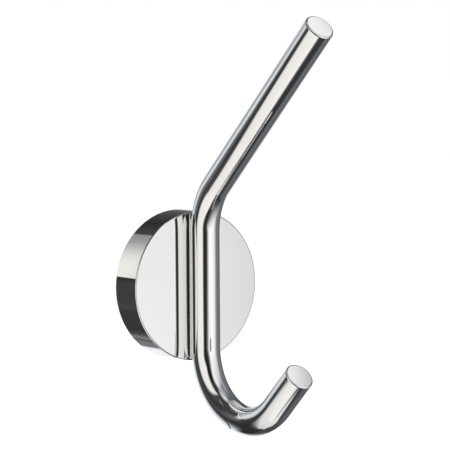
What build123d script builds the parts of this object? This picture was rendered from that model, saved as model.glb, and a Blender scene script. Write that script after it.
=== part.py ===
import os
from math import cos, radians, tan

from build123d import *

# Robe hook: a bent round rod on a hollow round rosette, held on a wall bracket by one set screw.
# The origin is the middle of the wall side, +Z is up, and the hook stands out towards -Y.

# Rosette cover, a turned cup
rosette_diameter = 52.0
rosette_depth = 12.0
face_thickness = 3.0
rim_thickness = 2.5
front_edge_chamfer = 0.5

# Hook rod, one round bar with both bends made on one former
rod_diameter = 10.0
rod_end_radius = 0.6
bend_radius = 23.0
arm_bend_height = 19.2
arm_angle = 46.0
arm_length = 76.0
hook_bend_drop = 20.7
hook_angle = 135.0
tail_length = 16.5
seat_depth = 0.1

# Rod screws, from inside the cup into blind tapped holes in the rod's back
screw_diameter = 3.0
screw_head_diameter = 5.7
screw_head_height = 1.65
screw_socket_width = 2.0
screw_socket_depth = 1.05
screw_spacing = 24.0
screw_hole_gap = 0.1
tapped_depth = 6.5
drill_point_angle = 118.0
screw_end_gap = 1.5
thread_gap = 0.03

# Wall bracket, a round plate with two flat sides, whose rim is undercut towards the wall
bracket_gap = 0.3
bracket_width = 33.0
bracket_front_land = 0.8
undercut_angle = 45.0
slot_width = 4.5
slot_length = 7.5
slot_spacing = 20.0

# Set screw in the underside of the rim, cone point up against the undercut
set_screw_diameter = 4.0
set_screw_height = 3.5
set_screw_recess = 0.43
set_screw_socket_width = 2.0
set_screw_socket_depth = 1.6
contact_drop = 1.7
point_gap = 0.05

rosette_radius = rosette_diameter / 2
rod_radius = rod_diameter / 2
screw_radius = screw_diameter / 2
set_screw_radius = set_screw_diameter / 2
hollow_radius = rosette_radius - rim_thickness
hollow_depth = rosette_depth - face_thickness
rod_line_y = -(rosette_depth + rod_radius - seat_depth)

# Planes across the hook's depth, each facing the wall
rod_seat = Plane(origin=(0, -rosette_depth, 0), x_dir=(1, 0, 0), z_dir=(0, 1, 0))
head_seat = Plane(origin=(0, -hollow_depth, 0), x_dir=(1, 0, 0), z_dir=(0, 1, 0))

os.makedirs("parts", exist_ok=True)

# The rod's centre line lies in the YZ plane, from the arm's end down to the tail's end
with BuildPart() as hook_rod:
    with BuildLine(Plane.YZ) as rod_line:
        arm_bend = JernArc((rod_line_y, arm_bend_height), (0, 1), bend_radius, arm_angle)
        hook_bend = JernArc((rod_line_y, -hook_bend_drop), (0, -1), bend_radius, -hook_angle)
        Line(arm_bend @ 0, hook_bend @ 0)
        arm = Line(arm_bend @ 1, arm_bend @ 1 + (arm_bend % 1) * arm_length)
        tail = Line(hook_bend @ 1, hook_bend @ 1 + (hook_bend % 1) * tail_length)
    with BuildSketch(Plane(origin=arm @ 1, x_dir=(1, 0, 0), z_dir=-(arm % 1))):
        Circle(rod_radius)
    sweep(path=rod_line.wires()[0])
    fillet(hook_rod.faces().filter_by(GeomType.PLANE).edges(), radius=rod_end_radius)
    # The narrow flat on the back, where the rod lies on the rosette
    split(bisect_by=rod_seat, keep=Keep.BOTTOM)
    # Blind tapped holes with the drill's pointed bottom
    drill_point = (screw_radius + thread_gap) / tan(radians(drill_point_angle / 2))
    with Locations(rod_seat):
        with GridLocations(0, screw_spacing, 1, 2):
            Hole(screw_radius + thread_gap, depth=tapped_depth)
            with Locations((0, 0, -tapped_depth)):
                Cone(
                    bottom_radius=0,
                    top_radius=screw_radius + thread_gap,
                    height=drill_point,
                    align=(Align.CENTER, Align.CENTER, Align.MAX),
                    mode=Mode.SUBTRACT,
                )

hook_rod.part.label = "hook_rod"
export_step(hook_rod.part, "parts/hook_rod.step")

# The cup is its half section turned about the Y axis
with BuildPart() as rosette_cover:
    with BuildSketch(Plane.YZ):
        with BuildLine():
            Polyline(
                (0, hollow_radius),
                (0, rosette_radius),
                (-rosette_depth, rosette_radius),
                (-rosette_depth, 0),
                (-hollow_depth, 0),
                (-hollow_depth, hollow_radius),
                close=True,
            )
        make_face()
    revolve(axis=Axis.Y)
    front_edges = rosette_cover.edges().filter_by(GeomType.CIRCLE).group_by(Axis.Y)[0]
    chamfer(front_edges, length=front_edge_chamfer)
    with Locations(head_seat):
        with GridLocations(0, screw_spacing, 1, 2):
            Hole(screw_radius + screw_hole_gap, depth=2 * face_thickness)
    # Threaded hole for the set screw, through the rim from below
    with Locations(Plane(origin=(0, -set_screw_height, -rosette_radius), z_dir=(0, 0, -1))):
        Hole(set_screw_radius + thread_gap, depth=2 * rim_thickness)

rosette_cover.part.label = "rosette_cover"
export_step(rosette_cover.part, "parts/rosette_cover.step")

# Two low-head screws, each with a hexagon socket towards the wall
screw_length = face_thickness + tapped_depth - screw_end_gap
with BuildPart() as rod_screws:
    with Locations(head_seat):
        with GridLocations(0, screw_spacing, 1, 2):
            Cylinder(
                screw_head_diameter / 2,
                screw_head_height,
                align=(Align.CENTER, Align.CENTER, Align.MIN),
            )
            Cylinder(screw_radius, screw_length, align=(Align.CENTER, Align.CENTER, Align.MAX))
    with BuildSketch(head_seat.offset(screw_head_height)):
        with GridLocations(0, screw_spacing, 1, 2):
            RegularPolygon(screw_socket_width / 2, 6, major_radius=False)
    extrude(amount=-screw_socket_depth, mode=Mode.SUBTRACT)

rod_screws.part.label = "rod_screws"
export_step(rod_screws.part, "parts/rod_screws.step")

# The bracket's rim widens away from the wall, so the set screw's cone draws the cup onto the wall
bracket_radius = hollow_radius - bracket_gap
undercut_height = set_screw_height + contact_drop / tan(radians(undercut_angle))
bracket_thickness = undercut_height + bracket_front_land
back_radius = bracket_radius - undercut_height * tan(radians(undercut_angle))
with BuildPart() as wall_bracket:
    with BuildSketch(Plane.YZ):
        with BuildLine():
            Polyline(
                (0, 0),
                (0, back_radius),
                (-undercut_height, bracket_radius),
                (-bracket_thickness, bracket_radius),
                (-bracket_thickness, 0),
                close=True,
            )
        make_face()
    revolve(axis=Axis.Y)
    bracket_front = Plane.XZ.offset(bracket_thickness)
    with BuildSketch(bracket_front):
        Rectangle(bracket_width, 2 * bracket_radius)
    extrude(amount=-bracket_thickness, mode=Mode.INTERSECT)
    # Slots for the wall screws, side by side
    with BuildSketch(bracket_front):
        with GridLocations(slot_spacing, 0, 2, 1):
            SlotOverall(slot_length, slot_width)
    extrude(amount=-bracket_thickness, mode=Mode.SUBTRACT)

wall_bracket.part.label = "wall_bracket"
export_step(wall_bracket.part, "parts/wall_bracket.step")

# The set screw stands upright in the rim, its socket below and its cone point above.
# The cone's flank lies along the bracket's undercut.
point_radius = bracket_radius - contact_drop + point_gap / cos(radians(undercut_angle))
point_length = set_screw_radius * tan(radians(undercut_angle))
socket_end = rosette_radius - set_screw_recess
with BuildPart() as set_screw:
    with BuildSketch(Plane.YZ):
        with BuildLine():
            Polyline(
                (-set_screw_height, -point_radius),
                (-set_screw_height - set_screw_radius, -point_radius - point_length),
                (-set_screw_height - set_screw_radius, -socket_end),
                (-set_screw_height, -socket_end),
                close=True,
            )
        make_face()
    revolve(axis=Axis((0, -set_screw_height, 0), (0, 0, 1)))
    with BuildSketch(Plane(origin=(0, -set_screw_height, -socket_end), z_dir=(0, 0, -1))):
        RegularPolygon(set_screw_socket_width / 2, 6, major_radius=False)
    extrude(amount=-set_screw_socket_depth, mode=Mode.SUBTRACT)

set_screw.part.label = "set_screw"
export_step(set_screw.part, "parts/set_screw.step")
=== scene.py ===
from math import cos, degrees, pi, radians, sin, tan

import bmesh
import bpy
from mathutils import Matrix, Vector


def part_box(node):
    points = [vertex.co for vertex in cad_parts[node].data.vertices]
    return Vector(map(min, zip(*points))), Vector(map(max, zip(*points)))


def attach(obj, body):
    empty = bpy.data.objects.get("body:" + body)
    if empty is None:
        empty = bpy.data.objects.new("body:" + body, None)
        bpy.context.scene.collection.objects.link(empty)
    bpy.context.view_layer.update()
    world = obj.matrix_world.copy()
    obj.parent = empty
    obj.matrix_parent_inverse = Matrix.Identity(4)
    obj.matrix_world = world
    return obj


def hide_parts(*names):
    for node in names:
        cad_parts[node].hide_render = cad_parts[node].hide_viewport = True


# The frame, and the solids' own box before anything is dressed
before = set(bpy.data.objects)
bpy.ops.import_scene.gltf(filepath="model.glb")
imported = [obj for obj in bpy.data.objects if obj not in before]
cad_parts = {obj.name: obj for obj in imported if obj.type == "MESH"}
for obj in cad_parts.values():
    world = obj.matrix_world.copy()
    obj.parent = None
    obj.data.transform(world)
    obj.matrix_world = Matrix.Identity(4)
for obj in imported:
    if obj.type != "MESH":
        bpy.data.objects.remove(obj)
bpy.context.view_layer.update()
MM = 0.001

# Sizes read from the frame
rod_low, rod_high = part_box("hook_rod")
cover_low, cover_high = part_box("rosette_cover")
screw_low, screw_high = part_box("set_screw")
ROD_RADIUS = (rod_high.x - rod_low.x) / 2
ROSETTE_RADIUS = (cover_high.x - cover_low.x) / 2
ROSETTE_DEPTH = cover_high.y - cover_low.y

# The rod's line in the YZ plane, the same as the solid's
SEAT_DEPTH = 0.1 * MM
ROD_LINE_Y = -(ROSETTE_DEPTH + ROD_RADIUS - SEAT_DEPTH)
BEND_RADIUS = 23.0 * MM
ARM_BEND_HEIGHT = 19.2 * MM
ARM_ANGLE = radians(46.0)
ARM_LENGTH = 76.0 * MM
HOOK_BEND_DROP = 20.7 * MM
HOOK_ANGLE = radians(135.0)
TAIL_LENGTH = 16.5 * MM
ROD_END_RADIUS = 0.6 * MM
ROD_SHARP_ANGLE = radians(9)

# The cup's section
FACE_THICKNESS = 3.0 * MM
RIM_THICKNESS = 2.5 * MM
FRONT_EDGE_RADIUS = 0.5 * MM
BACK_EDGE_RADIUS = 0.2 * MM
INNER_CORNER_RADIUS = 0.8 * MM
FLAT_DISC_RADIUS = 1.0 * MM
CUP_SHARP_ANGLE = radians(40)

# Screws and the holes for them. Distances along a hole run from its mouth.
ROD_SCREW_RADIUS = 1.5 * MM
ROD_SCREW_PITCH = 0.5 * MM
ROD_SCREW_LENGTH = 8.0 * MM
ROD_SCREW_HEAD_RADIUS = 2.85 * MM
ROD_SCREW_HEAD_HEIGHT = 1.65 * MM
ROD_SCREW_SOCKET_DEPTH = 1.05 * MM
ROD_SCREW_HEIGHTS = (-12.0 * MM, 12.0 * MM)
CLEARANCE_HOLE_RADIUS = 1.6 * MM
TAPPED_HOLE_RADIUS = 1.53 * MM
TAPPED_HOLE_DEPTH = 6.5 * MM
DRILL_POINT = 0.92 * MM
SET_SCREW_RADIUS = 2.0 * MM
SET_SCREW_PITCH = 0.7 * MM
SET_SCREW_HEIGHT = 3.5 * MM
SET_SCREW_HOLE_RADIUS = 2.03 * MM
SET_SCREW_SOCKET_DEPTH = 1.6 * MM
HEX_APOTHEM = 1.0 * MM
EDGE_BREAK = 0.15 * MM
SCREW_SHARP_ANGLE = radians(30)
THREAD_DEPTH_SHARE = 0.61
SOCKET_CENTRE_SHARE = 0.05
DRILL_TIP_RADIUS = 0.01 * MM
CONE_TIP_RADIUS = 0.02 * MM

# How far a hole's cutter reaches beyond the wall that it goes through
CUT_BEYOND = 1.0 * MM

# The bracket's edge break
BRACKET_EDGE_ANGLE = radians(35)
BRACKET_EDGE_SEGMENTS = 2

# Mesh fineness
ROD_SEGMENTS = 128
CUP_SEGMENTS = 360
ARC_STEP = radians(1.0)
EDGE_STEPS = 16
SUPPORT = 0.03 * MM
HOLE_SEGMENTS = 72
RINGS_PER_TURN = 10


def new_piece(name, mesh, material, slot, *nodes):
    """A finished piece that stands for CAD nodes and rides on the one body."""
    piece = bpy.data.objects.new(name, mesh)
    bpy.context.scene.collection.objects.link(piece)
    mesh.materials.append(material)
    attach(piece, "root")
    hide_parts(*nodes)


def smooth_mesh(name, build, sharp_angle, cutters=()):
    """A mesh from a bmesh, drilled by its cutters, with smooth shading that breaks at its sharp edges."""
    bmesh.ops.recalc_face_normals(build, faces=build.faces)
    mesh = bpy.data.meshes.new(name)
    build.to_mesh(mesh)
    build.free()
    if cutters:
        mesh = drilled(mesh, cutters)
        mesh.name = name
    mesh.shade_smooth()
    mesh.set_sharp_from_angle(angle=sharp_angle)
    return mesh


def drilled(mesh, cutters):
    """The mesh with each cutter's volume taken out."""
    blank = bpy.data.objects.new("blank", mesh)
    tools = [bpy.data.objects.new("tool", cutter) for cutter in cutters]
    for thing in [blank] + tools:
        bpy.context.scene.collection.objects.link(thing)
    for tool in tools:
        cut = blank.modifiers.new("cut", "BOOLEAN")
        cut.operation = "DIFFERENCE"
        cut.solver = "EXACT"
        cut.object = tool
    graph = bpy.context.evaluated_depsgraph_get()
    result = bpy.data.meshes.new_from_object(blank.evaluated_get(graph))
    for thing in [blank] + tools:
        bpy.data.objects.remove(thing)
    return result


def turned(build, start, way, stations, segments=HOLE_SEGMENTS):
    """A closed turned form along a line. A station is a distance and a radius, or a radius for each angle."""
    side = way.orthogonal().normalized()
    other = way.cross(side)
    previous = None
    for distance, radius in stations:
        ring = []
        for i in range(segments):
            a = 2 * pi * i / segments
            reach = radius(a) if callable(radius) else radius
            point = start + way * distance + reach * (cos(a) * side + sin(a) * other)
            ring.append(build.verts.new(point))
        if previous is None:
            build.faces.new(ring)
        else:
            for i in range(segments):
                j = (i + 1) % segments
                build.faces.new((previous[i], previous[j], ring[j], ring[i]))
        previous = ring
    build.faces.new(previous)


def cutter(start, way, stations):
    """A mesh for a hole's own volume."""
    build = bmesh.new()
    turned(build, Vector(start), Vector(way), stations)
    bmesh.ops.recalc_face_normals(build, faces=build.faces)
    mesh = bpy.data.meshes.new("cutter")
    build.to_mesh(mesh)
    build.free()
    return mesh


# The rod


def rod_stations():
    """Centre points and directions along the rod's line, from the arm's end to the tail's end."""
    low_bend = Vector((0, ROD_LINE_Y - BEND_RADIUS, -HOOK_BEND_DROP))
    high_bend = Vector((0, ROD_LINE_Y - BEND_RADIUS, ARM_BEND_HEIGHT))
    stations = []

    def bend(centre, start, end):
        steps = round(abs(end - start) / ARC_STEP)
        for i in range(steps + 1):
            a = start + (end - start) * i / steps
            point = centre + BEND_RADIUS * Vector((0, cos(a), sin(a)))
            stations.append((point, Vector((0, sin(a), -cos(a)))))

    bend(high_bend, ARM_ANGLE, 0)
    bend(low_bend, 0, -HOOK_ANGLE)
    arm_start, arm_way = stations[0]
    tail_start, tail_way = stations[-1]
    arm_end = arm_start - arm_way * ARM_LENGTH
    tail_end = tail_start + tail_way * TAIL_LENGTH
    return (arm_end, arm_way), stations, (tail_end, tail_way)


def rod_rings():
    """Every ring of the rod as centre, direction and radius, with its rounded ends."""
    (arm_end, arm_way), stations, (tail_end, tail_way) = rod_stations()
    small = ROD_RADIUS - ROD_END_RADIUS
    rounding = [(0, small - SUPPORT)]
    for i in range(EDGE_STEPS + 1):
        a = pi / 2 * i / EDGE_STEPS
        rounding.append((ROD_END_RADIUS * (1 - cos(a)), small + ROD_END_RADIUS * sin(a)))
    rounding.append((ROD_END_RADIUS + SUPPORT, ROD_RADIUS))
    rings = [(arm_end + arm_way * depth, arm_way, radius) for depth, radius in rounding]
    rings += [(point, way, ROD_RADIUS) for point, way in stations]
    rings += [(tail_end - tail_way * depth, tail_way, radius) for depth, radius in reversed(rounding)]
    return rings


def build_rod():
    """The bent bar as one skin, flattened where it lies on the rosette."""
    build = bmesh.new()
    previous = None
    across = Vector((1, 0, 0))
    for centre, way, radius in rod_rings():
        side = across.cross(way)
        ring = []
        for i in range(ROD_SEGMENTS):
            a = 2 * pi * i / ROD_SEGMENTS
            point = centre + radius * (cos(a) * side + sin(a) * across)
            point.y = min(point.y, -ROSETTE_DEPTH)
            ring.append(build.verts.new(point))
        if previous is None:
            build.faces.new(ring)
        else:
            for i in range(ROD_SEGMENTS):
                j = (i + 1) % ROD_SEGMENTS
                build.faces.new((previous[i], previous[j], ring[j], ring[i]))
        previous = ring
    build.faces.new(previous)
    tapped = [
        (-CUT_BEYOND, TAPPED_HOLE_RADIUS),
        (TAPPED_HOLE_DEPTH, TAPPED_HOLE_RADIUS),
        (TAPPED_HOLE_DEPTH + DRILL_POINT, DRILL_TIP_RADIUS),
    ]
    holes = [cutter((0, -ROSETTE_DEPTH, height), (0, -1, 0), tapped) for height in ROD_SCREW_HEIGHTS]
    return smooth_mesh("hook_rod_skin", build, ROD_SHARP_ANGLE, holes)


# The cup


def rounded_profile(corners):
    """Points of a section. Its corners, (depth, radius, rounding), are rounded, with support beside arcs."""
    points = []
    count = len(corners)
    for i, (depth, radius, rounding) in enumerate(corners):
        here = Vector((depth, radius))
        if rounding == 0:
            points.append(here)
            continue
        before = (Vector(corners[i - 1][:2]) - here).normalized()
        after = (Vector(corners[(i + 1) % count][:2]) - here).normalized()
        half_turn = before.angle(after) / 2
        reach = rounding / tan(half_turn)
        centre = here + (before + after).normalized() * rounding / sin(half_turn)
        start = here + before * reach
        end = here + after * reach
        points.append(start + before * SUPPORT)
        for k in range(EDGE_STEPS + 1):
            t = k / EDGE_STEPS
            spoke = (start - centre).normalized().slerp((end - centre).normalized(), t)
            points.append(centre + spoke * rounding)
        points.append(end + after * SUPPORT)
    return points


def lathe(build, points, segments):
    """Turns a section about the Y axis, closing both ends with flat discs."""
    rings = []
    for point in points:
        ring = []
        for i in range(segments):
            a = 2 * pi * i / segments
            ring.append(build.verts.new((point[1] * cos(a), point[0], point[1] * sin(a))))
        rings.append(ring)
    for low, high in zip(rings, rings[1:]):
        for i in range(segments):
            j = (i + 1) % segments
            build.faces.new((low[i], low[j], high[j], high[i]))
    build.faces.new(rings[0])
    build.faces.new(rings[-1])


def build_cup():
    """The turned cup: face, rim and hollow."""
    hollow_radius = ROSETTE_RADIUS - RIM_THICKNESS
    hollow_depth = ROSETTE_DEPTH - FACE_THICKNESS
    corners = [
        (-hollow_depth, FLAT_DISC_RADIUS, 0),
        (-hollow_depth, hollow_radius, INNER_CORNER_RADIUS),
        (0, hollow_radius, BACK_EDGE_RADIUS),
        (0, ROSETTE_RADIUS, BACK_EDGE_RADIUS),
        (-ROSETTE_DEPTH, ROSETTE_RADIUS, FRONT_EDGE_RADIUS),
        (-ROSETTE_DEPTH, FLAT_DISC_RADIUS, 0),
    ]
    build = bmesh.new()
    lathe(build, rounded_profile(corners), CUP_SEGMENTS)
    through = [(-CUT_BEYOND, CLEARANCE_HOLE_RADIUS), (FACE_THICKNESS + CUT_BEYOND, CLEARANCE_HOLE_RADIUS)]
    radial = [(-CUT_BEYOND, SET_SCREW_HOLE_RADIUS), (RIM_THICKNESS + CUT_BEYOND, SET_SCREW_HOLE_RADIUS)]
    holes = [cutter((0, -hollow_depth, height), (0, -1, 0), through) for height in ROD_SCREW_HEIGHTS]
    holes.append(cutter((0, -SET_SCREW_HEIGHT, -ROSETTE_RADIUS), (0, 0, 1), radial))
    return smooth_mesh("rosette_skin", build, CUP_SHARP_ANGLE, holes)


# The screws


def hexagon(angle):
    """A hexagon socket's reach at an angle."""
    sixth = pi / 3
    return HEX_APOTHEM / cos(angle % sixth - sixth / 2)


def socket_centre(angle):
    """The small reach that closes a socket's floor."""
    return SOCKET_CENTRE_SHARE * hexagon(angle)


def thread(radius, pitch, distance):
    """The reach of a threaded surface at a distance along the screw, for each angle."""
    depth = THREAD_DEPTH_SHARE * pitch

    def reach(angle):
        turns = distance / pitch - angle / (2 * pi)
        return radius - depth * abs(2 * (turns % 1) - 1)

    return reach


def thread_stations(radius, pitch, start, end):
    """Stations of a threaded stretch."""
    count = round((end - start) / pitch * RINGS_PER_TURN)
    distances = [start + (end - start) * i / count for i in range(count + 1)]
    return [(distance, thread(radius, pitch, distance)) for distance in distances]


def build_rod_screws():
    """Two low-head screws, head and socket towards the wall."""
    small = ROD_SCREW_RADIUS - THREAD_DEPTH_SHARE * ROD_SCREW_PITCH
    head = ROD_SCREW_HEAD_RADIUS
    top = -ROD_SCREW_HEAD_HEIGHT
    stations = [
        (top + ROD_SCREW_SOCKET_DEPTH, socket_centre),
        (top + ROD_SCREW_SOCKET_DEPTH, hexagon),
        (top, hexagon),
        (top, head - EDGE_BREAK),
        (top + EDGE_BREAK, head),
        (-SUPPORT, head),
        (0, head - SUPPORT),
        (0, small),
    ]
    thread_end = ROD_SCREW_LENGTH - ROD_SCREW_PITCH
    stations += thread_stations(ROD_SCREW_RADIUS, ROD_SCREW_PITCH, ROD_SCREW_PITCH, thread_end)
    stations.append((ROD_SCREW_LENGTH, small - EDGE_BREAK))
    build = bmesh.new()
    hollow_depth = ROSETTE_DEPTH - FACE_THICKNESS
    for height in ROD_SCREW_HEIGHTS:
        turned(build, Vector((0, -hollow_depth, height)), Vector((0, -1, 0)), stations)
    return smooth_mesh("rod_screws_skin", build, SCREW_SHARP_ANGLE)


def build_set_screw():
    """The cone-point screw in the underside of the rim, socket down."""
    length = screw_high.z - screw_low.z
    shoulder = length - SET_SCREW_RADIUS
    small = SET_SCREW_RADIUS - THREAD_DEPTH_SHARE * SET_SCREW_PITCH
    stations = [
        (SET_SCREW_SOCKET_DEPTH, socket_centre),
        (SET_SCREW_SOCKET_DEPTH, hexagon),
        (0, hexagon),
        (0, small - EDGE_BREAK),
    ]
    stations += thread_stations(SET_SCREW_RADIUS, SET_SCREW_PITCH, EDGE_BREAK, shoulder)
    stations.append((length - small, small))
    stations.append((length, CONE_TIP_RADIUS))
    build = bmesh.new()
    turned(build, Vector((0, -SET_SCREW_HEIGHT, screw_low.z)), Vector((0, 0, 1)), stations)
    return smooth_mesh("set_screw_skin", build, SCREW_SHARP_ANGLE)


# Materials

# The part of a noise's range that most of its values lie in
NOISE_LOW, NOISE_HIGH = 0.3, 0.7


def new_metal(name):
    """A material whose shader is a bare metal."""
    material = bpy.data.materials.new(name)
    material.use_nodes = True
    shader = material.node_tree.nodes["Principled BSDF"]
    shader.inputs["Metallic"].default_value = 1.0
    return material, material.node_tree, shader


def noise(tree, scale, detail=3.0, stretch=(1, 1, 1)):
    """Noise in the object's own coordinates, as a factor from 0 to 1."""
    place = tree.nodes.new("ShaderNodeTexCoord")
    mapping = tree.nodes.new("ShaderNodeMapping")
    mapping.inputs["Scale"].default_value = stretch
    texture = tree.nodes.new("ShaderNodeTexNoise")
    texture.inputs["Scale"].default_value = scale
    texture.inputs["Detail"].default_value = detail
    tree.links.new(place.outputs["Object"], mapping.inputs["Vector"])
    tree.links.new(mapping.outputs["Vector"], texture.inputs["Vector"])
    return texture.outputs["Fac"]


def ramp(tree, factor, low, high):
    """A colour ramp between two colours over the middle of a factor's range."""
    node = tree.nodes.new("ShaderNodeValToRGB")
    node.color_ramp.elements[0].position = NOISE_LOW
    node.color_ramp.elements[0].color = (*low, 1)
    node.color_ramp.elements[1].position = NOISE_HIGH
    node.color_ramp.elements[1].color = (*high, 1)
    tree.links.new(factor, node.inputs["Fac"])
    return node.outputs["Color"]


def spread(tree, factor, low, high):
    """A factor mapped onto a range of numbers."""
    node = tree.nodes.new("ShaderNodeMapRange")
    node.inputs["From Min"].default_value = NOISE_LOW
    node.inputs["From Max"].default_value = NOISE_HIGH
    node.inputs["To Min"].default_value = low
    node.inputs["To Max"].default_value = high
    tree.links.new(factor, node.inputs["Value"])
    return node.outputs["Result"]


def add_bump(tree, shader, height, strength, distance):
    node = tree.nodes.new("ShaderNodeBump")
    node.inputs["Strength"].default_value = strength
    node.inputs["Distance"].default_value = distance
    tree.links.new(height, node.inputs["Height"])
    tree.links.new(node.outputs["Normal"], shader.inputs["Normal"])


def chrome(name):
    """Polished chrome plating: a clear mirror with the faintest unevenness."""
    material, tree, shader = new_metal(name)
    tone = ramp(tree, noise(tree, 60), (0.865, 0.868, 0.866), (0.885, 0.886, 0.882))
    tree.links.new(tone, shader.inputs["Base Color"])
    tree.links.new(spread(tree, noise(tree, 900), 0.015, 0.03), shader.inputs["Roughness"])
    return material


def satin_zinc(name):
    """Bare die-cast zinc: dull, with a fine grain and slow blotches."""
    material, tree, shader = new_metal(name)
    tone = ramp(tree, noise(tree, 140, 5), (0.50, 0.51, 0.52), (0.62, 0.63, 0.64))
    tree.links.new(tone, shader.inputs["Base Color"])
    tree.links.new(spread(tree, noise(tree, 700), 0.34, 0.48), shader.inputs["Roughness"])
    add_bump(tree, shader, noise(tree, 2600, 4), 0.12, 0.02 * MM)
    return material


def bright_zinc(name):
    """Zinc plating on a steel screw, a little blue, with turning marks."""
    material, tree, shader = new_metal(name)
    tone = ramp(tree, noise(tree, 500), (0.60, 0.63, 0.67), (0.74, 0.75, 0.76))
    tree.links.new(tone, shader.inputs["Base Color"])
    tree.links.new(spread(tree, noise(tree, 1500), 0.20, 0.32), shader.inputs["Roughness"])
    add_bump(tree, shader, noise(tree, 900, 2, (1, 12, 1)), 0.10, 0.01 * MM)
    return material


def turned_steel(name):
    """Plain stainless steel with turning marks along the screw."""
    material, tree, shader = new_metal(name)
    tone = ramp(tree, noise(tree, 600), (0.50, 0.50, 0.49), (0.62, 0.62, 0.61))
    tree.links.new(tone, shader.inputs["Base Color"])
    tree.links.new(spread(tree, noise(tree, 1800), 0.22, 0.36), shader.inputs["Roughness"])
    add_bump(tree, shader, noise(tree, 900, 2, (1, 1, 12)), 0.12, 0.01 * MM)
    return material


polished_rod = chrome("polished_chrome_rod")
polished_rosette = chrome("polished_chrome_rosette")
plated_steel = bright_zinc("zinc_plating")
plain_steel = turned_steel("turned_steel")
new_piece("hook_rod_polished", build_rod(), polished_rod, "polished_chrome_rod", "hook_rod")
new_piece("rosette_polished", build_cup(), polished_rosette, "polished_chrome_rosette", "rosette_cover")
new_piece("rod_screws_threaded", build_rod_screws(), plated_steel, "zinc_plated_steel", "rod_screws")
new_piece("set_screw_threaded", build_set_screw(), plain_steel, "stainless_steel", "set_screw")


def finish_node(node, material):
    """Gives a carried-over solid its finish."""
    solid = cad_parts[node]
    solid.data.materials.clear()
    solid.data.materials.append(material)
    edges = solid.modifiers.new("edge_break", "BEVEL")
    edges.limit_method = "ANGLE"
    edges.angle_limit = BRACKET_EDGE_ANGLE
    edges.width = EDGE_BREAK
    edges.segments = BRACKET_EDGE_SEGMENTS


finish_node("wall_bracket", satin_zinc("cast_zinc"))


# Camera, at the photograph's view
CAMERA_AZIMUTH = radians(-37.56)
CAMERA_ELEVATION = radians(4.35)
CAMERA_ROLL = radians(-0.34)
CAMERA_DISTANCE = 754.0 * MM
VIEW_CENTRE_RIGHT = 17.05 * MM
VIEW_CENTRE_UP = 20.43 * MM
LENS = 171.5
SENSOR = 36.0
NEAREST_SEEN, FARTHEST_SEEN = 0.01, 100.0


def add_camera():
    back = Vector((
        sin(CAMERA_AZIMUTH) * cos(CAMERA_ELEVATION),
        -cos(CAMERA_AZIMUTH) * cos(CAMERA_ELEVATION),
        sin(CAMERA_ELEVATION),
    ))
    level = Vector((0, 0, 1)).cross(back).normalized()
    upright = back.cross(level)
    right = cos(CAMERA_ROLL) * level + sin(CAMERA_ROLL) * upright
    up = cos(CAMERA_ROLL) * upright - sin(CAMERA_ROLL) * level
    data = bpy.data.cameras.new("camera")
    data.lens = LENS
    data.sensor_width = SENSOR
    data.clip_start = NEAREST_SEEN
    data.clip_end = FARTHEST_SEEN
    camera = bpy.data.objects.new("camera", data)
    bpy.context.scene.collection.objects.link(camera)
    place = Matrix((right, up, back)).transposed().to_4x4()
    place.translation = right * VIEW_CENTRE_RIGHT + up * VIEW_CENTRE_UP + back * CAMERA_DISTANCE
    camera.matrix_world = place
    bpy.context.scene.camera = camera


add_camera()


# The studio that the chrome reflects: soft patches of light on domes round the object, each seen by
# reflections alone. A patch is placed by azimuth, from 0 straight out from the wall and positive to
# the right, and by elevation, both in degrees. Its left and right edges are measured from its centre
# and may bend with the elevation, in powers of 30 degrees. Each edge has its own softness.
# The patches' numbers weren't chosen by hand: a program fitted them to the photograph, and they are
# rounded. Only a few were changed afterwards.
BEND_SCALE = 30.0
DARK_ROOM = (0.070, 0.070, 0.073)


def calculate(tree, operation, *values):
    """A math node over sockets or plain numbers."""
    node = tree.nodes.new("ShaderNodeMath")
    node.operation = operation
    for socket, value in zip(node.inputs, values):
        if isinstance(value, (int, float)):
            socket.default_value = value
        else:
            tree.links.new(value, socket)
    return node.outputs[0]


def bent_line(tree, along, terms):
    """A number that bends along a socket: terms[0] + terms[1] x + terms[2] x^2 and so on."""
    total = terms[-1]
    for term in reversed(terms[:-1]):
        total = calculate(tree, "MULTIPLY_ADD", along, total, term)
    return total


def soft_step(tree, value, edge, softness):
    """From 0 below an edge to 1 above it, blended over the softness on both sides."""
    node = tree.nodes.new("ShaderNodeMapRange")
    node.interpolation_type = "SMOOTHSTEP"
    tree.links.new(calculate(tree, "SUBTRACT", value, edge), node.inputs["Value"])
    node.inputs["From Min"].default_value = -softness
    node.inputs["From Max"].default_value = softness
    return node.outputs["Result"]


def directions(tree):
    """Azimuth and elevation of a dome's surface, seen from the origin, in degrees."""
    place = tree.nodes.new("ShaderNodeTexCoord")
    unit = tree.nodes.new("ShaderNodeVectorMath")
    unit.operation = "NORMALIZE"
    split = tree.nodes.new("ShaderNodeSeparateXYZ")
    tree.links.new(place.outputs["Object"], unit.inputs[0])
    tree.links.new(unit.outputs[0], split.inputs[0])
    outwards = calculate(tree, "MULTIPLY", split.outputs["Y"], -1)
    azimuth = calculate(tree, "ARCTAN2", split.outputs["X"], outwards)
    elevation = calculate(tree, "ARCSINE", split.outputs["Z"])
    turn = degrees(1)
    return calculate(tree, "MULTIPLY", azimuth, turn), calculate(tree, "MULTIPLY", elevation, turn)


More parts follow.
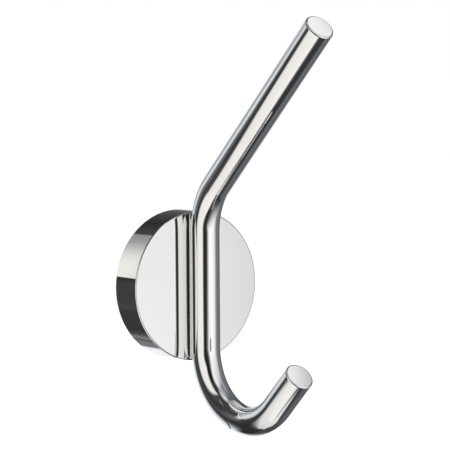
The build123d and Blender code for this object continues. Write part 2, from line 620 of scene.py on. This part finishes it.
def patch_mask(tree, azimuth, elevation, patch):
    """How much of a patch covers each direction, and the direction's own place in the patch."""
    left, right, bottom, top = (patch.get(key) for key in ("left", "right", "bottom", "top"))
    offset = calculate(tree, "WRAP", calculate(tree, "SUBTRACT", azimuth, patch.get("centre", 0)), 180, -180)
    across = calculate(tree, "DIVIDE", offset, BEND_SCALE)
    upward = calculate(tree, "DIVIDE", elevation, BEND_SCALE)
    mask = 1.0
    if left:
        edge = bent_line(tree, upward, left[0])
        mask = soft_step(tree, offset, edge, left[1])
    if right:
        edge = bent_line(tree, upward, right[0])
        beyond = soft_step(tree, offset, edge, right[1])
        mask = calculate(tree, "MULTIPLY", mask, calculate(tree, "SUBTRACT", 1, beyond))
    if bottom:
        edge = bent_line(tree, across, bottom[0])
        mask = calculate(tree, "MULTIPLY", mask, soft_step(tree, elevation, edge, bottom[1]))
    if top:
        edge = bent_line(tree, across, top[0])
        beyond = soft_step(tree, elevation, edge, top[1])
        mask = calculate(tree, "MULTIPLY", mask, calculate(tree, "SUBTRACT", 1, beyond))
    return mask, across, upward


def patch_colour(tree, patch, across, upward):
    """A patch's colour, brightened or dimmed across it and upwards."""
    slope_across, slope_upward = patch.get("slope", (0, 0))
    level = calculate(tree, "MULTIPLY_ADD", across, slope_across, 1)
    level = calculate(tree, "MULTIPLY_ADD", upward, slope_upward, level)
    level = calculate(tree, "MAXIMUM", level, 0)
    node = tree.nodes.new("ShaderNodeVectorMath")
    node.operation = "SCALE"
    node.inputs[0].default_value = patch["colour"]
    tree.links.new(level, node.inputs["Scale"])
    return node.outputs[0]


def reflected_only(thing):
    """Hides a stage object from everything but reflections."""
    thing.visible_camera = False
    thing.visible_diffuse = False
    thing.visible_transmission = False
    thing.visible_volume_scatter = False
    thing.visible_shadow = False


def bare_material(name):
    """A material with an empty tree, whose glow isn't sampled as a lamp."""
    material = bpy.data.materials.new(name)
    material.use_nodes = True
    material.cycles.emission_sampling = "NONE"
    material.node_tree.nodes.clear()
    return material, material.node_tree


def show(tree, shader, second=None):
    """Makes one shader, or the sum of two, the material's surface."""
    if second:
        both = tree.nodes.new("ShaderNodeAddShader")
        tree.links.new(shader.outputs[0], both.inputs[0])
        tree.links.new(second.outputs[0], both.inputs[1])
        shader = both
    output = tree.nodes.new("ShaderNodeOutputMaterial")
    tree.links.new(shader.outputs[0], output.inputs["Surface"])


def dome_material(name, patches, closed):
    """Patches painted over each other. A dome that isn't closed is clear where it has no patch."""
    material, tree = bare_material(name)
    azimuth, elevation = directions(tree)
    base = DARK_ROOM if closed else (0, 0, 0)
    colour = None
    clear = 1.0
    for patch in patches:
        mask, across, upward = patch_mask(tree, azimuth, elevation, patch)
        mix = tree.nodes.new("ShaderNodeMix")
        mix.label = patch["name"]
        mix.data_type = "RGBA"
        tree.links.new(mask, mix.inputs["Factor"])
        if colour is None:
            mix.inputs["A"].default_value = (*base, 1)
        else:
            tree.links.new(colour, mix.inputs["A"])
        tree.links.new(patch_colour(tree, patch, across, upward), mix.inputs["B"])
        colour = mix.outputs["Result"]
        clear = calculate(tree, "MULTIPLY", clear, calculate(tree, "SUBTRACT", 1, mask))
    glow = tree.nodes.new("ShaderNodeEmission")
    tree.links.new(colour, glow.inputs["Color"])
    if closed:
        show(tree, glow)
        return material
    window = tree.nodes.new("ShaderNodeBsdfTransparent")
    tree.links.new(clear, window.inputs["Color"])
    show(tree, glow, window)
    return material


FAR_PATCHES = [
    {
        "name": "right_wall",
        "centre": 95,
        "left": ((-47, -15, -2, 1), 1.5),
        "right": ((75, 9, -8, -1), 2.5),
        "bottom": ((-64,), 3.5),
        "top": ((73,), 2.5),
        "colour": (0.15, 0.16, 0.18),
        "slope": (-0.4, 0.1),
    },
    {
        "name": "right_dark",
        "centre": 65,
        "left": ((-30, 0, -1, 3), 12),
        "right": ((30, -7, -15, -3), 4.5),
        "bottom": ((-77, 4, -4), 7),
        "top": ((-48, 5), 9),
        "colour": (0.04, 0.04, 0.04),
    },
    {
        "name": "behind_left",
        "centre": -130,
        "left": ((-12, -8, 8, 3), 2),
        "right": ((15, -7, 0, 5), 0.5),
        "bottom": ((-22, -2), 3),
        "top": ((51, 1, 1), 9),
        "colour": (0.42, 0.42, 0.42),
        "slope": (0.85, -0.7),
    },
    {
        "name": "backdrop",
        "centre": 180,
        "left": ((-67, 7, -3, -2), 3),
        "right": ((36, 18, -15, -23), 2.5),
        "bottom": ((-16, 11, 4), 15),
        "top": ((25, 3, -8), 10),
        "colour": (0.77, 0.81, 0.85),
        "slope": (0, 0.1),
    },
    {
        "name": "low_behind_dark",
        "centre": -150,
        "left": ((-41, 1, -3, -2), 6),
        "right": ((16, -2, -3, 1), 4.5),
        "bottom": ((-72, 1, -1), 5),
        "top": ((-6, 7), 11),
        "colour": (0.03, 0.03, 0.03),
    },
    {
        "name": "backdrop_low",
        "centre": 180,
        "left": ((-37, 1, 3), 20),
        "right": ((22, -2, 6, 9), 15),
        "bottom": ((-41, 0, -6), 6),
        "top": ((0, 4, 1), 1),
        "colour": (0.86, 0.90, 0.97),
        "slope": (-0.2, 0),
    },
    {
        "name": "back_strip",
        "centre": 175,
        "left": ((-17, 10, 14, 6), 9),
        "right": ((4, 25, 17, 6), 13),
        "bottom": ((-5,), 4),
        "top": ((20,), 4),
        "colour": (0.35, 0.38, 0.42),
    },
    {
        "name": "right_top",
        "centre": 65,
        "left": ((-25, 1, 1, 2), 8.5),
        "right": ((24, -1, 1, 4), 8),
        "bottom": ((46, 5, 10), 1.5),
        "top": ((48, 10, 3), 1.5),
        "colour": (1.01, 1.02, 1.04),
    },
    {
        "name": "top_dark",
        "centre": -85,
        "left": ((-55,), 6.5),
        "right": ((45,), 6.5),
        "bottom": ((54, -1), 5),
        "top": ((65, 0, -2), 4),
        "colour": (0.03, 0.03, 0.03),
    },
    {
        "name": "ceiling",
        "bottom": ((73,), 9),
        "colour": (0.50, 0.50, 0.50),
        "slope": (-0.15, 0.05),
    },
]
MIDDLE_PATCHES = [
    {
        "name": "low_left",
        "centre": -95,
        "left": ((-23.5, 33, 34, 11), 7),
        "right": ((10, -32, 15, 9), 4),
        "top": ((-36, -14), 1),
        "colour": (0.99, 0.97, 0.95),
        "slope": (0.1, 0.05),
    },
    {
        "name": "low_front",
        "centre": -35,
        "left": ((-14, -1, 3, 2), 10),
        "right": ((18, -5, 10, 6), 14),
        "bottom": ((-84,), 5),
        "top": ((-67, 3, -3), 13),
        "colour": (0.50, 0.51, 0.52),
    },
    {
        "name": "below",
        "top": ((-78, -0.5), 1),
        "colour": (0.86, 0.85, 0.83),
    },
    {
        "name": "gap_grey",
        "centre": 0,
        "left": ((-18, -2, 2), 9),
        "right": ((20, 0, 2, -2), 11),
        "bottom": ((-56, -1, -1), 7),
        "top": ((-30,), 8),
        "colour": (0.12, 0.13, 0.13),
    },
    {
        "name": "right_box",
        "centre": 18,
        "left": ((-31, 20, -33, 10), 12.5),
        "right": ((31, 7, 12, -10), 15.5),
        "bottom": ((-29, -10, 7), 24),
        "top": ((73, 1, 8), 8),
        "colour": (1.04, 1.035, 1.025),
        "slope": (-0.22, -0.15),
    },
    {
        "name": "dark_gap",
        "centre": -35,
        "left": ((-11, -3, 2, -3), 6.5),
        "right": ((5, 7.5, 3, -8.5), 12),
        "bottom": ((-46, 2, 2), 4),
        "top": ((50,), 6),
        "colour": (0.01, 0.01, 0.01),
    },
]
NEAR_PATCHES = [
    {
        "name": "left_shade",
        "centre": -115,
        "left": ((-16, 6, -9, 2), 13),
        "right": ((10, -2, 5, -4), 4),
        "bottom": ((-24, -1, -3), 14),
        "top": ((33, 1), 11),
        "colour": (0.045, 0.045, 0.047),
    },
    {
        "name": "left_box",
        "centre": -80,
        "left": ((-20, 6, 6, -1), 5.5),
        "right": ((28, 10, 35, 13), 6),
        "bottom": ((-110,), 6),
        "top": ((54, -40), 11),
        "colour": (0.97, 0.94, 0.90),
        "slope": (0.05, 0),
    },
    {
        "name": "right_shade",
        "centre": 60,
        "left": ((-2, -2, 6, -6), 18),
        "right": ((16, 5, -2, 1), 5),
        "bottom": ((-46, -1), 10),
        "top": ((32, 2), 8),
        "colour": (0.19, 0.19, 0.21),
    },
]

NEAR_DOME = 0.2
MIDDLE_DOME = 0.5
FAR_DOME = 1.0
DOME_SUBDIVISIONS = 5


def add_dome(name, radius, patches, closed=False):
    build = bmesh.new()
    bmesh.ops.create_icosphere(build, subdivisions=DOME_SUBDIVISIONS, radius=radius)
    mesh = bpy.data.meshes.new(name)
    build.to_mesh(mesh)
    build.free()
    mesh.shade_smooth()
    mesh.materials.append(dome_material(name, patches, closed))
    dome = bpy.data.objects.new(name, mesh)
    bpy.context.scene.collection.objects.link(dome)
    reflected_only(dome)


add_dome("far_dome", FAR_DOME, FAR_PATCHES, closed=True)
add_dome("middle_dome", MIDDLE_DOME, MIDDLE_PATCHES)
add_dome("near_dome", NEAR_DOME, NEAR_PATCHES)

# A bent backdrop far behind the rosette, round its axis, for what the rosette's rim reflects. A band is
# an angle in degrees, from the left and positive upwards, and its colour. The colour runs on between bands.
# The bands weren't chosen by hand either: a program measured the photograph's colours along the rim,
# and they are those colours in linear light, over the chrome's own brightness, and rounded.
BACKDROP_RADIUS = 420.0 * MM
BACKDROP_NEAR, BACKDROP_FAR = 534.0 * MM, 568.0 * MM
BACKDROP_FIRST, BACKDROP_LAST = -142.0, 172.0
BACKDROP_STEPS = 314
BACKDROP_BANDS = [
    (-134, (0.95, 0.98, 1.02)),
    (-119, (0.92, 0.95, 1.00)),
    (-114, (0.20, 0.20, 0.21)),
    (-102, (0.20, 0.20, 0.21)),
    (-97, (0.10, 0.10, 0.11)),
    (-92, (0.24, 0.24, 0.25)),
    (-85, (0.08, 0.08, 0.09)),
    (-77, (0.04, 0.04, 0.04)),
    (-43, (0.045, 0.045, 0.047)),
    (-37, (0.075, 0.075, 0.078)),
    (-31, (0.055, 0.055, 0.056)),
    (-2, (0.055, 0.055, 0.055)),
    (8.2, (0.03, 0.03, 0.03)),
    (8.8, (1.02, 1.01, 0.97)),
    (26, (0.98, 0.97, 0.93)),
    (43, (0.82, 0.81, 0.78)),
    (65, (0.40, 0.40, 0.395)),
    (79.8, (0.28, 0.28, 0.28)),
    (80.4, (0.065, 0.065, 0.065)),
    (106, (0.027, 0.027, 0.029)),
    (151, (0.09, 0.09, 0.09)),
    (170, (0.25, 0.25, 0.25)),
]


def add_banded_backdrop():
    """The bent backdrop as a part of a tube's wall."""
    vertices = []
    faces = []
    for i in range(BACKDROP_STEPS + 1):
        a = radians(BACKDROP_FIRST + (BACKDROP_LAST - BACKDROP_FIRST) * i / BACKDROP_STEPS)
        across, up = -BACKDROP_RADIUS * cos(a), BACKDROP_RADIUS * sin(a)
        vertices += [(across, BACKDROP_NEAR, up), (across, BACKDROP_FAR, up)]
        if i:
            faces.append((2 * i - 2, 2 * i - 1, 2 * i + 1, 2 * i))
    mesh = bpy.data.meshes.new("banded_backdrop")
    mesh.from_pydata(vertices, [], faces)
    material, tree = bare_material("banded_backdrop")
    place = tree.nodes.new("ShaderNodeTexCoord")
    split = tree.nodes.new("ShaderNodeSeparateXYZ")
    tree.links.new(place.outputs["Object"], split.inputs[0])
    leftwards = calculate(tree, "MULTIPLY", split.outputs["X"], -1)
    angle = calculate(tree, "ARCTAN2", split.outputs["Z"], leftwards)
    span = BACKDROP_LAST - BACKDROP_FIRST
    along = calculate(tree, "MULTIPLY_ADD", angle, degrees(1) / span, -BACKDROP_FIRST / span)
    bands = tree.nodes.new("ShaderNodeValToRGB")
    tree.links.new(along, bands.inputs["Fac"])
    elements = bands.color_ramp.elements
    elements.remove(elements[1])
    for i, (place_angle, colour) in enumerate(BACKDROP_BANDS):
        position = (place_angle - BACKDROP_FIRST) / span
        element = elements.new(position) if i else elements[0]
        element.position = position
        element.color = (*colour, 1)
    glow = tree.nodes.new("ShaderNodeEmission")
    tree.links.new(bands.outputs["Color"], glow.inputs["Color"])
    show(tree, glow)
    mesh.materials.append(material)
    backdrop = bpy.data.objects.new("banded_backdrop", mesh)
    bpy.context.scene.collection.objects.link(backdrop)
    reflected_only(backdrop)


add_banded_backdrop()


# The plain pale floor, the soft lamps and the white surround
FLOOR_HEIGHT = -150.0 * MM
FLOOR_SIZE = 40.0
FLOOR_COLOUR = (0.82, 0.82, 0.82)
FLOOR_LIFT = 0.32
SURROUND_LIGHT = 0.85
KEY_PLACE, KEY_SIZE, KEY_POWER = (-0.5, -0.8, 0.9), 0.7, 9.0
FILL_PLACE, FILL_SIZE, FILL_POWER = (0.8, -0.6, 0.6), 0.8, 3.0


def add_floor():
    half = FLOOR_SIZE / 2
    mesh = bpy.data.meshes.new("floor")
    corners = [(-half, -half, FLOOR_HEIGHT), (half, -half, FLOOR_HEIGHT)]
    corners += [(half, half, FLOOR_HEIGHT), (-half, half, FLOOR_HEIGHT)]
    mesh.from_pydata(corners, [], [(0, 1, 2, 3)])
    material, tree = bare_material("pale_floor")
    diffuse = tree.nodes.new("ShaderNodeBsdfDiffuse")
    diffuse.inputs["Color"].default_value = (*FLOOR_COLOUR, 1)
    path = tree.nodes.new("ShaderNodeLightPath")
    lift = tree.nodes.new("ShaderNodeEmission")
    strength = calculate(tree, "MULTIPLY", path.outputs["Is Camera Ray"], FLOOR_LIFT)
    tree.links.new(strength, lift.inputs["Strength"])
    show(tree, diffuse, lift)
    mesh.materials.append(material)
    floor = bpy.data.objects.new("floor", mesh)
    bpy.context.scene.collection.objects.link(floor)
    floor.visible_glossy = False


def add_lamp(name, place, size, power):
    data = bpy.data.lights.new(name, "AREA")
    data.shape = "DISK"
    data.size = size
    data.energy = power
    lamp = bpy.data.objects.new(name, data)
    bpy.context.scene.collection.objects.link(lamp)
    lamp.location = place
    lamp.rotation_euler = (-Vector(place)).to_track_quat("-Z", "Y").to_euler()
    lamp.visible_glossy = False
    lamp.visible_camera = False


def add_world():
    """White to the camera, and a plain soft light on everything else."""
    world = bpy.data.worlds.new("surround")
    world.use_nodes = True
    bpy.context.scene.world = world
    tree = world.node_tree
    background = tree.nodes["Background"]
    background.inputs["Color"].default_value = (1, 1, 1, 1)
    path = tree.nodes.new("ShaderNodeLightPath")
    seen = calculate(tree, "MAXIMUM", path.outputs["Is Camera Ray"], path.outputs["Is Glossy Ray"])
    seen = calculate(tree, "MAXIMUM", seen, path.outputs["Is Transmission Ray"])
    strength = calculate(tree, "MULTIPLY_ADD", seen, 1 - SURROUND_LIGHT, SURROUND_LIGHT)
    tree.links.new(strength, background.inputs["Strength"])


add_floor()
add_lamp("key_lamp", KEY_PLACE, KEY_SIZE, KEY_POWER)
add_lamp("fill_lamp", FILL_PLACE, FILL_SIZE, FILL_POWER)
add_world()

bpy.context.scene.view_settings.view_transform = "Standard"
